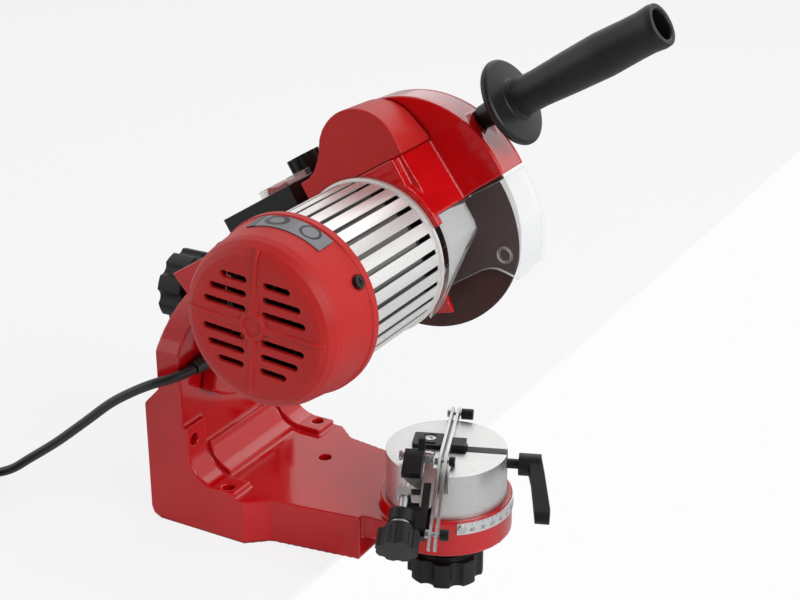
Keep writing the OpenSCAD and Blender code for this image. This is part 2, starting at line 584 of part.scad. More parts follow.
module wheel_nut() color("#9c9c9c") at_motor()
  along_y(wheel_y + wheel_t / 2 + 4, wheel_y + wheel_t / 2 + 10) difference() {
    circle(9.5, $fn = 6);
    circle(shaft_r - run);
  }

// ---------------------------------------------------------------- controls on the arm
module switch_box() color("#191919") at_arm() difference() {
  translate([43, -45, deck_w]) cube([63, 45 + guard_y - gap, 16]);
  translate([46, -42, deck_w - 1]) cube([57, 42 + guard_y - gap - 2.5, 13]);
  translate([80, -38, deck_w + 8]) cube([22, 22, 20]);
  translate([91, 0, deck_w + 14]) rod_y(-39.5, -14.5, 1.5);
}
module switch_frame() color([0.75, 0.2, 0.2, 0.6]) at_arm() difference() {
  translate([77.5, -40.5, deck_w + 16]) cube([27, 27, 5]);
  translate([80, -38, deck_w + 10]) cube([22, 22, 20]);
}
module rocker() color("#c5201f") at_arm() difference() {
  along_y(-36.6, -17.4) polygon([[82, deck_w + 12], [81, deck_w + 17], [82.5, deck_w + 21], [91, deck_w + 18.6],
    [99.5, deck_w + 19], [101, deck_w + 17], [100, deck_w + 12]]);
  translate([91, 0, deck_w + 14]) rod_y(-40, -10, 1.5 + run);
}
module rocker_pin() color("#8a8a8a") at_arm() translate([91, 0, deck_w + 14]) rod_y(-39.5, -14.5, 1.5);
module depth_screw() color("#a9a9a9") at_arm() translate([motor_u - 61.5, 10, 52])
  cylinder(r = 4, h = 22, $fn = 40);
module depth_knob() color("#191919") at_arm() translate([motor_u - 61.5, 10, 66.2]) difference() {
  linear_extrude(14) knob_2d(12.5, 10);
  translate([0, 0, -1]) cylinder(r = 4, h = 9, $fn = 40);
}
module depth_nut() color("#a2a2a2") at_arm() translate([motor_u - 61.5, 10, 60]) difference() {
  cylinder(r = 7.2, h = 6, $fn = 6);
  translate([0, 0, -1]) cylinder(r = 4 + run, h = 9, $fn = 40);
}
module handle() color("#202020") at_arm() translate([0, 9.5, 45.5]) rotate([0, 90, 0]) difference() {
  rotate_extrude($fn = 64) polygon([[4.05, 229], [7.5, 229], [8.5, 240], [9, 249], [28, 250.5], [29, 252.5],
    [29, 254.5], [27.5, 256], [14, 258], [12.5, 262], [12.2, 275], [13.5, 300], [14.4, 325], [13.6, 345],
    [13.4, 356], [14.2, 364], [13.6, 368], [10.2, 368], [9.5, 366], [9.2, 310], [8, 300], [4.05, 300]]);
}
module handle_stud() color("#9a9a9a") at_arm() translate([0, 9.5, 45.5])
  rod_x(motor_u + 66, 296, 4);

// ---------------------------------------------------------------- mains lead
cord_r = 3.5;
// strain relief on the near edge of the tilt carrier
gland_x = -26;
gland_y = -40.5;
gland_z = pivot_z - 33;
module cord_gland() color("#151515") translate([gland_x, gland_y, gland_z]) rotate([90, 0, 0]) difference() {
  union() {
    cylinder(r = 5.6, h = 4.5);
    translate([0, 0, 4]) cylinder(r1 = 6, r2 = 4.5, h = 14.5);
  }
  translate([0, 0, -2]) cylinder(r = cord_r + 0.3, h = 60);
}
// the free run leaves the strain relief, turns to the wall side, and slopes down to the bench
run_pts = [[gland_x, -44, gland_z], [gland_x, -59, gland_z], [-28, -69, 124.5], [-34, -77, 122.5],
  [-45, -83, 118.5], [-62, -85, 109], [-82, -85.5, 95.5], [-107, -85.5, 74.5], [-133, -85, 53],
  [-150, -84.5, 40], [-167, -84, 27.5], [-184, -83.6, 15], [-199, -83.7, 7.3], [-210, -83.8, 4.2],
  [-219.4, -83.8, 3.5]];
coil_c = [-226.4, -135.8, 0];
coil_pitch = 7.6;
coil_r0 = 52;
coil_z = [3.5, 11.1];
turns_in = 3.5;
turns_up = 0.5;       // the climb to the upper layer, on the inside
turns_out = 2.5;
coil_n = (turns_in + turns_up + turns_out) * 24;
function coil_at(i) = let (t = i / 24, up = max(0, min(1, (t - turns_in) / turns_up)),
  r = coil_r0 - coil_pitch * min(t, turns_in) + coil_pitch * max(t - turns_in - turns_up, 0)
    - 1.3 * sin(180 * up),
  z = coil_z[0] + (coil_z[1] - coil_z[0]) * up,
  a = 90 + 360 * t) coil_c + [r * cos(a), r * sin(a), z];
tail_y = coil_c[1] - coil_r0 + coil_pitch * (turns_in - turns_out);
tail_x = coil_c[0];
tail_pts = [[tail_x + 12, tail_y - 0.5, 11.1], [tail_x + 24, tail_y - 4, 9.9], [tail_x + 33, tail_y - 12, 7.2],
  [tail_x + 36, tail_y - 23, 4.7], [tail_x + 31, tail_y - 34, 3.6], [tail_x + 20, tail_y - 41, 3.8],
  [tail_x + 8, tail_y - 43, 6.2], [tail_x - 4, tail_y - 43, 9.8], [tail_x - 14, tail_y - 43, 12]];
coil_pts = concat([[-220, -83.8, 3.5]], [for (i = [0 : coil_n]) coil_at(i)], tail_pts);
function sub(a, b) = [a[0] - b[0], a[1] - b[1], a[2] - b[2]];
function unit(v) = v / norm(v);
module tube(p, r, n) {
  m = len(p);
  t = [for (i = [0 : m - 1]) unit(sub(p[min(i + 1, m - 1)], p[max(i - 1, 0)]))];
  pts = [for (i = [0 : m - 1]) let (s = unit(cross(t[i], [0.02, 0.03, 0.99])), u = cross(s, t[i]))
    for (k = [0 : n - 1]) p[i] + r * cos(360 * k / n) * s + r * sin(360 * k / n) * u];
  polyhedron(pts, concat(
    [for (k = [1 : n - 2]) [0, k + 1, k]],
    [for (i = [0 : m - 2]) for (k = [0 : n - 1]) each [
      [i * n + k, i * n + (k + 1) % n, (i + 1) * n + (k + 1) % n],
      [i * n + k, (i + 1) * n + (k + 1) % n, (i + 1) * n + k]]],
    [for (k = [1 : n - 2]) [(m - 1) * n, (m - 1) * n + k, (m - 1) * n + k + 1]]));
}
function cr(p, i, t) = let (a = p[max(i - 1, 0)], b = p[i], c = p[i + 1], d = p[min(i + 2, len(p) - 1)])
  0.5 * ((2 * b) + (c - a) * t + (2 * a - 5 * b + 4 * c - d) * t * t + (3 * b - a - 3 * c + d) * t * t * t);
function smooth(p, k) = [for (i = [0 : len(p) - 2]) for (j = [0 : k - 1]) cr(p, i, j / k), p[len(p) - 1]];
// least gap between the coil's loops, measured between points more than a third of a loop apart
coil_gap = min([for (i = [0 : coil_n - 9]) for (j = [i + 9 : coil_n]) norm(coil_at(i) - coil_at(j))]) - 2 * cord_r;
echo(coil_gap_mm = coil_gap);
module cord_run() color("#141414") tube(smooth(run_pts, 2), cord_r, 8);
module cord_coil() color("#141414") tube(coil_pts, cord_r, 6);
module plug() color("#161616") translate([tail_x - 16.2, tail_y - 43, 12]) rotate([0, 0, 90]) {
  hull() {
    along_y(-2, 0) circle(5, $fn = 24);
    along_y(14, 16) scale([1.5, 1]) circle(9, $fn = 32);
    along_y(16, 34) scale([1.5, 1]) circle(11.8, $fn = 32);
  }
  for (s = [-1, 1]) translate([s * 9.5, 0, 0]) { rod_y(33, 53, 2.3); }
}

base_casting();
angle_scale();
scale_screws();
swivel_stud();
swivel_knob();
turntable();
fixed_rail();
moving_rail();
rail_bolts();
rail_caps();
clamp_block();
clamp_rod();
clamp_lever();
index_plate();
index_screw();
stop_slide();
pawl_pin();
stop_pawl();
stop_body();
stop_screw();
stop_spring();
stop_knob();
tilt_carrier();
tilt_stud();
tilt_washer();
tilt_knob();
arm_pin();
arm_casting();
guard_cover();
clear_guard();
arm_screws();
capacitor_cover();
capacitor();
motor_housing();
stator();
windings();
end_cap();
cap_screws();
rating_plate();
end_shield();
motor_bearings();
motor_shaft();
rotor();
fan();
wheel_flanges();
grinding_wheel();
wheel_nut();
switch_box();
switch_frame();
rocker();
rocker_pin();
depth_screw();
depth_knob();
depth_nut();
handle();
handle_stud();
cord_gland();
cord_run();
cord_coil();
plug();
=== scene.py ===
import bpy, bmesh, json, math
from mathutils import Matrix, Vector


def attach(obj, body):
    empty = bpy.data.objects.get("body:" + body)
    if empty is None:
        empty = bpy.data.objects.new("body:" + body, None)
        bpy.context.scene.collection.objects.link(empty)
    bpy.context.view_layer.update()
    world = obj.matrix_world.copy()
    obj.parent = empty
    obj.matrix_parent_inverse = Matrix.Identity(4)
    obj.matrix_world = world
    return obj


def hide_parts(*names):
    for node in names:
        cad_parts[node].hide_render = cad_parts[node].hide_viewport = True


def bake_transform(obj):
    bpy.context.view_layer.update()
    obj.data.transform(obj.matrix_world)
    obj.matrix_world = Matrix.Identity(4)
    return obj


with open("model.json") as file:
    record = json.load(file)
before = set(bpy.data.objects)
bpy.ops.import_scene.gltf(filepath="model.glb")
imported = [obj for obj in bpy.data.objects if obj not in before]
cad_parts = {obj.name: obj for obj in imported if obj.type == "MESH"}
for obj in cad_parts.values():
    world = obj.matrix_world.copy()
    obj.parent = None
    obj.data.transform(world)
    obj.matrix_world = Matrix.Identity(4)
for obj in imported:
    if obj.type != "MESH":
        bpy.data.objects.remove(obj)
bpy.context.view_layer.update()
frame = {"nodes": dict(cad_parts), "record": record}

N = frame["nodes"]
MM = 0.001
SLOTS = {s["node"]: s["material_slot"] for s in frame["record"]["subparts"]}

# ---------------------------------------------------------------- places taken from the CAD frame
PIVOT = Vector((-0.006, 0, 0.158))          # arm pin
RAISE = math.radians(32.3)                  # arm angle at rest
MOTOR_U = 0.1485                            # wheel axis along the arm
TABLE = Vector((0.143, 0.005, 0.0))         # swivel axis of the turntable
ARM = Matrix.Translation(PIVOT) @ Matrix.Rotation(-RAISE, 4, "Y")
MOTOR = (ARM @ Matrix.Translation((MOTOR_U, 0, 0))).translation

def shown(name, data):
    """A new object in the scene."""
    o = bpy.data.objects.new(name, data)
    bpy.context.scene.collection.objects.link(o)
    return o

# ---------------------------------------------------------------- camera
FOCAL_PX, FRAME_W, FRAME_H = 1599.6, 800, 600
PRINCIPAL_PX = (422.43, 308.29)
SENSOR_MM = 36
CAM_PLACE = (0.60705, -0.87835, 0.60643)
CAM_AZIMUTH, CAM_HEIGHT, CAM_ROLL = (math.radians(v) for v in (28.735, 22.982, 0.362))

cam_data = bpy.data.cameras.new("camera")
cam = shown("camera", cam_data)
cam_data.sensor_width = SENSOR_MM
cam_data.lens = FOCAL_PX / FRAME_W * SENSOR_MM
cam_data.shift_x = -(PRINCIPAL_PX[0] - FRAME_W / 2) / FRAME_W
cam_data.shift_y = (PRINCIPAL_PX[1] - FRAME_H / 2) / FRAME_W
cam_data.clip_start, cam_data.clip_end = 0.05, 20

back = Vector((math.sin(CAM_AZIMUTH) * math.cos(CAM_HEIGHT),
               -math.cos(CAM_AZIMUTH) * math.cos(CAM_HEIGHT), math.sin(CAM_HEIGHT)))
level_right = Vector((math.cos(CAM_AZIMUTH), math.sin(CAM_AZIMUTH), 0))
level_up = back.cross(level_right)
right = math.cos(CAM_ROLL) * level_right + math.sin(CAM_ROLL) * level_up
up = math.cos(CAM_ROLL) * level_up - math.sin(CAM_ROLL) * level_right
cam.matrix_world = (Matrix.Translation(CAM_PLACE)
                    @ Matrix((right, up, back)).transposed().to_4x4())
bpy.context.scene.camera = cam

# ---------------------------------------------------------------- shader node helpers
def new_mat(name):
    m = bpy.data.materials.new(name)
    m.use_nodes = True
    nt = m.node_tree
    return m, nt, nt.nodes["Principled BSDF"]

def add(nt, kind, **values):
    """A new node; each value goes to the input of that name, or else to the node's setting."""
    n = nt.nodes.new(kind)
    for k, v in values.items():
        if k in n.inputs: n.inputs[k].default_value = v
        else: setattr(n, k, v)
    return n

def feed(nt, socket, x):
    """Set a socket to a number or a colour, or link it to another node's output."""
    if isinstance(x, (int, float, tuple)): socket.default_value = x
    else: nt.links.new(x, socket)

def coords(nt, centre=None):
    """Row-frame coordinates of the surface at rest, or those seen from a given centre."""
    tc = add(nt, "ShaderNodeTexCoord")
    if centre is None: return tc.outputs["Object"]
    m = add(nt, "ShaderNodeMapping", vector_type="POINT")
    nt.links.new(tc.outputs["Object"], m.inputs["Vector"])
    m.inputs["Location"].default_value = -centre
    return m.outputs["Vector"]

def split(nt, vec):
    n = add(nt, "ShaderNodeSeparateXYZ")
    nt.links.new(vec, n.inputs[0])
    return n.outputs["X"], n.outputs["Y"], n.outputs["Z"]

def noise(nt, vec, scale, detail=3.0):
    n = add(nt, "ShaderNodeTexNoise", Scale=scale, Detail=detail, Roughness=0.5)
    nt.links.new(vec, n.inputs["Vector"])
    return n.outputs["Fac"]

def maths(nt, op, a, b=None, clamp=False):
    n = add(nt, "ShaderNodeMath", operation=op, use_clamp=clamp)
    feed(nt, n.inputs[0], a)
    if b is not None: feed(nt, n.inputs[1], b)
    return n.outputs[0]

def hypot(nt, a, b):
    squares = maths(nt, "ADD", maths(nt, "MULTIPLY", a, a), maths(nt, "MULTIPLY", b, b))
    return maths(nt, "SQRT", squares)

def map_range(nt, fac, from_min, from_max, to_min, to_max):
    m = add(nt, "ShaderNodeMapRange")
    for k, x in (("From Min", from_min), ("From Max", from_max),
                 ("To Min", to_min), ("To Max", to_max)):
        m.inputs[k].default_value = x
    nt.links.new(fac, m.inputs["Value"])
    return m.outputs["Result"]

def span(nt, fac, lo, hi):
    return map_range(nt, fac, 0, 1, lo, hi)

def ramp(nt, fac, lo, hi, start=0.3, end=0.7):
    """Colour lo below start, colour hi above end, and a blend between them."""
    r = add(nt, "ShaderNodeValToRGB")
    for e, at, colour in zip(r.color_ramp.elements, (start, end), (lo, hi)):
        e.position, e.color = at, (*colour, 1)
    nt.links.new(fac, r.inputs["Fac"])
    return r.outputs["Color"]

def mix_rgb(nt, fac, a, b, blend="MIX"):
    n = add(nt, "ShaderNodeMix", data_type="RGBA", blend_type=blend)
    for k, x in (("Factor", fac), ("A", a), ("B", b)): feed(nt, n.inputs[k], x)
    return n.outputs["Result"]

def mix_shader(nt, fac, a, b):
    n = add(nt, "ShaderNodeMixShader")
    nt.links.new(fac, n.inputs["Fac"])
    nt.links.new(a.outputs[0], n.inputs[1])
    nt.links.new(b.outputs[0], n.inputs[2])
    return n.outputs[0]

def bump(nt, bsdf, fac, height, strength=0.4, under=None):
    """Relief of a height in metres; it goes to the shader, if there is one, over any other."""
    b = add(nt, "ShaderNodeBump", Strength=strength, Distance=height)
    nt.links.new(fac, b.inputs["Height"])
    if under: nt.links.new(under, b.inputs["Normal"])
    if bsdf: nt.links.new(b.outputs["Normal"], bsdf.inputs["Normal"])
    return b.outputs["Normal"]

# ---------------------------------------------------------------- materials
NOOK_SHADE_DEPTH, NOOK_SHADE_COLOUR = 0.85, (0.25, 0.2, 0.2)        # how much and how far the painted shade darkens hollows
NOOK_SHADE_FROM, NOOK_SHADE_TO = 0.35, 0.85                         # openness that gets the full painted shade, and openness that gets none
MOTTLE, GLOSS_PATCH, WAVE, GRAIN = 35, 90, 60, 1500     # noise scales, per metre
COAT_ROUGH = 0.08

def paint(name, lo, hi, rough, coat=0.0, grain=0.0, wave=0.0, nook_shade=0.0, spec=0.5):
    """Colour mottled from lo to hi, with shade painted into hollows; fine grain lies over a slow
    waviness.
    """
    m, nt, b = new_mat(name)
    v = coords(nt)
    colour = ramp(nt, noise(nt, v, MOTTLE, 4), lo, hi)
    if nook_shade:
        # painted shade: ambient occlusion darkens the colour in hollows and creases
        ao = add(nt, "ShaderNodeAmbientOcclusion", samples=6, Distance=nook_shade)
        painted_shade = ramp(nt, ao.outputs["AO"], NOOK_SHADE_COLOUR, (1, 1, 1), NOOK_SHADE_FROM, NOOK_SHADE_TO)
        colour = mix_rgb(nt, NOOK_SHADE_DEPTH, colour, painted_shade, "MULTIPLY")
    nt.links.new(colour, b.inputs["Base Color"])
    b.inputs["Specular IOR Level"].default_value = spec
    nt.links.new(span(nt, noise(nt, v, GLOSS_PATCH), *rough), b.inputs["Roughness"])
    b.inputs["Coat Weight"].default_value = coat
    b.inputs["Coat Roughness"].default_value = COAT_ROUGH
    under = bump(nt, None, noise(nt, v, WAVE, 2), wave, 0.5) if wave else None
    bump(nt, b, noise(nt, v, GRAIN), grain, under=under)
    return m

def metal(name, colour, rough, grain, scale=900):
    """Bare metal whose colour, gloss and grain follow one noise."""
    m, nt, b = new_mat(name)
    f = noise(nt, coords(nt), scale, 4)
    nt.links.new(ramp(nt, f, tuple(c * 0.86 for c in colour), colour), b.inputs["Base Color"])
    b.inputs["Metallic"].default_value = 1.0
    nt.links.new(span(nt, f, *rough), b.inputs["Roughness"])
    bump(nt, b, f, grain)
    return m

def clear(name, tint, body):
    """See-through sheet: bare in the middle, shiny at a slant, and with a painted white highlight
    along its edges.
    """
    edge_width, edge_flat, edge_turned, painted_edge_highlight = 0.0005, 0.995, 0.90, 0.6
    slant_ior, slant_share = 1.28, 0.6
    m, nt, b = new_mat(name)
    b.inputs["Base Color"].default_value = (*tint, 1)
    b.inputs["Specular IOR Level"].default_value = 0.8
    nt.links.new(span(nt, noise(nt, coords(nt), 120), 0.03, 0.09), b.inputs["Roughness"])
    see = add(nt, "ShaderNodeBsdfTransparent")
    see.inputs["Color"].default_value = (*(0.5 + 0.5 * c for c in tint), 1)
    slant = maths(nt, "MULTIPLY", add(nt, "ShaderNodeFresnel", IOR=slant_ior).outputs[0], slant_share)
    # the edge is where the rounded normal turns away from the flat one
    rounded = add(nt, "ShaderNodeBevel", samples=4, Radius=edge_width)
    flat = add(nt, "ShaderNodeNewGeometry")
    dot = add(nt, "ShaderNodeVectorMath", operation="DOT_PRODUCT")
    nt.links.new(rounded.outputs["Normal"], dot.inputs[0])
    nt.links.new(flat.outputs["Normal"], dot.inputs[1])
    # painted highlight: the sheet turns white along its edges
    edge = map_range(nt, dot.outputs["Value"], edge_flat, edge_turned, 0, painted_edge_highlight)
    solid = maths(nt, "ADD", maths(nt, "ADD", slant, edge, clamp=True), body, clamp=True)
    nt.links.new(mix_shader(nt, solid, see, b), nt.nodes["Material Output"].inputs["Surface"])
    return m

PAINTS = {
    "red_paint": dict(lo=(0.54, 0.003, 0.005), hi=(0.62, 0.005, 0.008), rough=(0.12, 0.20),
                      coat=0.45, grain=0.00002, wave=0.00022, nook_shade=0.004, spec=0.35),
    "red_plastic": dict(lo=(0.49, 0.013, 0.011), hi=(0.55, 0.018, 0.015), rough=(0.44, 0.54),
                        grain=0.00004, nook_shade=0.0025, spec=0.35),
    "black_plastic": dict(lo=(0.006, 0.006, 0.0065), hi=(0.011, 0.011, 0.0115),
                          rough=(0.34, 0.46), grain=0.00005, spec=0.35),
    "cord_black": dict(lo=(0.010, 0.010, 0.010), hi=(0.014, 0.014, 0.014), rough=(0.38, 0.5),
                       grain=0.00002),
    "white_plastic": dict(lo=(0.70, 0.69, 0.65), hi=(0.76, 0.75, 0.71), rough=(0.4, 0.5),
                          grain=0.00002),
    "rocker_red": dict(lo=(0.50, 0.008, 0.008), hi=(0.58, 0.012, 0.010), rough=(0.2, 0.3),
                       coat=0.2, grain=0.00001),
    "abrasive": dict(lo=(0.045, 0.016, 0.013), hi=(0.075, 0.028, 0.022), rough=(0.6, 0.8),
                     grain=0.00012)}
METALS = {
    "steel": dict(colour=(0.62, 0.62, 0.62), rough=(0.24, 0.38), grain=0.00001),
    "dark_steel": dict(colour=(0.25, 0.25, 0.26), rough=(0.35, 0.5), grain=0.00001),
    "copper": dict(colour=(0.7, 0.32, 0.16), rough=(0.25, 0.4), grain=0.00001),
    "aluminium": dict(colour=(0.80, 0.80, 0.80), rough=(0.28, 0.42), grain=0.00003, scale=700)}
CLEARS = {
    "clear_plastic": dict(tint=(0.97, 0.98, 0.98), body=0.015),
    "clear_cover": dict(tint=(0.95, 0.93, 0.93), body=0.05)}
M = {name: make(name, **look) for make, looks in ((paint, PAINTS), (metal, METALS), (clear, CLEARS))
     for name, look in looks.items()}

def housing():
    """Drawn aluminium: bright lands, with shade painted on the floors of the grooves that goes black
    at the vents.
    """
    groove_r, vents_from_y = 0.0502, -0.0745
    # painted shade: dark grey on the floors of the grooves, near black in the vents
    groove_shade, vent_shade = (0.20, 0.195, 0.19, 1), (0.02, 0.02, 0.02, 1)
    m, nt, b = new_mat("motor_aluminium")
    x, y, z = split(nt, coords(nt, MOTOR))
    in_groove = maths(nt, "LESS_THAN", hypot(nt, x, z), groove_r)
    in_vent = maths(nt, "MULTIPLY", in_groove, maths(nt, "GREATER_THAN", y, vents_from_y))
    f = noise(nt, coords(nt), 700)
    land = ramp(nt, f, (0.84, 0.83, 0.81), (0.93, 0.92, 0.90))
    colour = mix_rgb(nt, in_vent, mix_rgb(nt, in_groove, land, groove_shade), vent_shade)
    nt.links.new(colour, b.inputs["Base Color"])
    b.inputs["Metallic"].default_value = 0.75
    nt.links.new(span(nt, f, 0.36, 0.5), b.inputs["Roughness"])
    bump(nt, b, f, 0.00002)
    return m

def turned():
    """Aluminium with the fine rings of the lathe on its top and sides."""
    ring_pitch, ring_share = 0.0006, 0.25
    m, nt, b = new_mat("turned_aluminium")
    x, y, z = split(nt, coords(nt, TABLE))
    along = maths(nt, "ADD", hypot(nt, x, y), z)
    rings = maths(nt, "SINE", maths(nt, "MULTIPLY", along, 2 * math.pi / ring_pitch))
    f = noise(nt, coords(nt), 500)
    nt.links.new(ramp(nt, f, (0.64, 0.64, 0.63), (0.72, 0.72, 0.71)), b.inputs["Base Color"])
    b.inputs["Metallic"].default_value = 0.85
    nt.links.new(span(nt, f, 0.33, 0.45), b.inputs["Roughness"])
    bump(nt, b, maths(nt, "ADD", maths(nt, "MULTIPLY", rings, ring_share), f), 0.00001, 0.35)
    return m

def plate():
    """Bare rating plate: grey, with one dark end and two plain round marks."""
    plate_r, middle_y, dark_end = 0.0555, -0.1575, -0.0135
    # each mark: its place along the plate, its outer and inner radius, and how much it is widened
    marks = ((0.0195, 0.0062, 0.0046, 1.1), (-0.0035, 0.0062, 0.0036, 1.3))
    grey, dark = (0.17, 0.17, 0.185, 1), (0.02, 0.019, 0.021, 1)
    m, nt, b = new_mat("rating_plate_finish")
    x, y, z = split(nt, coords(nt, MOTOR))
    along = maths(nt, "MULTIPLY", maths(nt, "ARCTAN2", x, z), plate_r)
    def disc(at, rad, wide):
        off = maths(nt, "MULTIPLY", maths(nt, "SUBTRACT", along, at), 1 / wide)
        return maths(nt, "LESS_THAN", hypot(nt, off, maths(nt, "ADD", y, -middle_y)), rad)
    is_dark = maths(nt, "LESS_THAN", along, dark_end)
    for at, outer, inner, wide in marks:
        mark = maths(nt, "SUBTRACT", disc(at, outer, wide), disc(at, inner, wide))
        is_dark = maths(nt, "MAXIMUM", is_dark, mark)
    nt.links.new(mix_rgb(nt, is_dark, grey, dark), b.inputs["Base Color"])
    b.inputs["Metallic"].default_value = 0.4
    nt.links.new(span(nt, noise(nt, coords(nt), 200), 0.3, 0.42), b.inputs["Roughness"])
    return m

SPECIAL = {"motor_housing": housing(), "turntable": turned(), "rating_plate": plate()}
for name, o in N.items():
    o.data.materials.clear()
    o.data.materials.append(SPECIAL.get(name) or M[SLOTS[name]])

# ---------------------------------------------------------------- pieces
def link(name, mesh, body, slot, *nodes):
    """A new piece that rides on a body, takes a slot's finish and stands for CAD nodes, if any."""
    o = shown(name, mesh)
    if not mesh.materials: mesh.materials.append(M[slot])
    if body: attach(o, body)
    if nodes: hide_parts(*nodes)
    return o

def applied(o):
    """The mesh of a passing object with its modifiers applied; the object goes away."""
    dg = bpy.context.evaluated_depsgraph_get()
    mesh = bpy.data.meshes.new_from_object(o.evaluated_get(dg))
    bpy.data.objects.remove(o)
    return mesh

def mesh_from(bm, name):
    mesh = bpy.data.meshes.new(name)
    bm.to_mesh(mesh)
    bm.free()
    return mesh

def cast(node, matrix, voxel, rounds, body):
    """The node's solid with soft cast edges: remeshed in its own square frame, then smoothed."""
    mesh = N[node].data.copy()
    mesh.transform(matrix.inverted())
    tmp = shown("tmp", mesh)
    r = tmp.modifiers.new("remesh", "REMESH")
    r.mode, r.voxel_size, r.use_smooth_shade = "VOXEL", voxel * MM * 1, True
    s = tmp.modifiers.new("soften", "SMOOTH")
    s.factor, s.iterations = 0.5, rounds
    out = applied(tmp)
    out.transform(matrix)
    out.materials.clear()
    out.materials.append(M[SLOTS[node]])
    for f in out.polygons: f.use_smooth = True
    return link(node + "_cast", out, body, SLOTS[node], node)

WELD_GAP = 0.000002
FLAT_ANGLE, EDGE_ANGLE, SPLIT_ANGLE = (math.radians(v) for v in (0.6, 34, 36))

def crisp(node, width):
    """Smooth curved faces, and edges rounded by width millimetres, by modifiers only."""
    o = N[node]
    for f in o.data.polygons: f.use_smooth = True
    o.modifiers.new("weld", "WELD").merge_threshold = WELD_GAP
    if width:
        d = o.modifiers.new("flat", "DECIMATE")
        d.decimate_type, d.angle_limit = "DISSOLVE", FLAT_ANGLE
        b = o.modifiers.new("edge", "BEVEL")
        b.width, b.segments = width * MM, 3
        b.limit_method, b.angle_limit = "ANGLE", EDGE_ANGLE
        b.use_clamp_overlap = True
    o.modifiers.new("split", "EDGE_SPLIT").split_angle = SPLIT_ANGLE
    o.modifiers.new("normals", "WEIGHTED_NORMAL").keep_sharp = True

# ---------------------------------------------------------------- mains lead, in millimetres
CORD_R, CORD_SIDES, CORD_STEPS = 3.5, 20, 6  # steps: route points between two chosen ones
RUN = [(-26, -59, 125), (-28, -69, 124.5), (-34, -77, 122.5), (-45, -83, 118.5), (-62, -85, 109),
       (-82, -85.5, 95.5), (-107, -85.5, 74.5), (-133, -85, 53), (-150, -84.5, 40),
       (-167, -84, 27.5), (-184, -83.6, 15), (-199, -83.7, 7.3), (-210, -83.8, 4.2),
       (-219.4, -83.8, 3.5)]
COIL_C, PITCH, COIL_R0 = (-226.4, -135.8), 7.6, 52
TURNS = (3.5, 0.5, 2.5)                     # turns inward, climbing, and outward on top
CLIMB_DIP = 1.3                             # how far the climbing half turn draws in
COIL_STEPS = 24                             # route points in one turn

def coil_at(i):
    """The coil's route point i."""
    t = i / COIL_STEPS
    risen = max(0, min(1, (t - TURNS[0]) / TURNS[1]))
    r = (COIL_R0 - PITCH * min(t, TURNS[0]) + PITCH * max(t - TURNS[0] - TURNS[1], 0)
         - CLIMB_DIP * math.sin(math.pi * risen))
    a = math.radians(90) + 2 * math.pi * t
    return (COIL_C[0] + r * math.cos(a), COIL_C[1] + r * math.sin(a), CORD_R + PITCH * risen)

TX, TY = COIL_C[0], COIL_C[1] - COIL_R0 + PITCH * (TURNS[0] - TURNS[2])
TAIL = [(TX + 12, TY - 0.5, 11.1), (TX + 24, TY - 4, 9.9), (TX + 33, TY - 12, 7.2),
        (TX + 36, TY - 23, 4.7), (TX + 31, TY - 34, 3.6), (TX + 20, TY - 41, 3.8),
        (TX + 8, TY - 43, 6.2), (TX - 4, TY - 43, 9.8), (TX - 14, TY - 43, 12)]

def spline(p, k):
    """Catmull-Rom points through p, k to a span."""
    out = []
    for i in range(len(p) - 1):
        near = (max(i - 1, 0), i, i + 1, min(i + 2, len(p) - 1))
        a, b, c, d = (Vector(p[j]) for j in near)
        for t in (j / k for j in range(k)):
            out.append(0.5 * (2 * b + (c - a) * t + (2 * a - 5 * b + 4 * c - d) * t * t
                              + (3 * b - a - 3 * c + d) * t ** 3))
    return out + [Vector(p[-1])]

def tube(name, points, r, sides):
    """A round tube mesh along points, in millimetres, with closed ends."""
    bm = bmesh.new()
    rings, side = [], None
    for i, p in enumerate(points):
        t = (points[min(i + 1, len(points) - 1)] - points[max(i - 1, 0)]).normalized()
        side = (t.cross(Vector((0, 0, 1))) if side is None else side - t * side.dot(t)).normalized()
        u = side.cross(t)
        rings.append([bm.verts.new((p + r * (math.cos(a) * side + math.sin(a) * u)) * MM)
                      for a in (2 * math.pi * k / sides for k in range(sides))])
    for a, b in zip(rings, rings[1:]):
        for k in range(sides):
            bm.faces.new((a[k], a[(k + 1) % sides], b[(k + 1) % sides], b[k]))
    bm.faces.new(rings[0][::-1])
    bm.faces.new(rings[-1])
    bmesh.ops.recalc_face_normals(bm, faces=bm.faces)
    for f in bm.faces: f.smooth = len(f.verts) == 4
    return mesh_from(bm, name)

cord_pts = (spline(RUN, CORD_STEPS)[:-1]
            + [Vector(coil_at(i / 2)) for i in range(int(sum(TURNS) * 2 * COIL_STEPS) + 1)]
            + spline([coil_at(sum(TURNS) * COIL_STEPS)] + TAIL, CORD_STEPS)[1:])
lead = link("mains_lead", tube("mains_lead", cord_pts, CORD_R, CORD_SIDES), None,
            "cord_black", "cord_run", "cord_coil")
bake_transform(lead)

# ---------------------------------------------------------------- castings and edges
CAP_FRAME = Matrix.Translation(MOTOR)
SQUARE = Matrix.Identity(4)
# each casting: its square frame, voxel in millimetres, rounds of smoothing, and body
CASTS = {"base_casting": (SQUARE, 0.85, 3, "base"), "arm_casting": (ARM, 0.8, 3, "arm"),
         "tilt_carrier": (SQUARE, 0.9, 4, "carrier"), "capacitor_cover": (ARM, 0.7, 6, "arm"),
         "end_cap": (CAP_FRAME, 0.42, 1, "arm")}
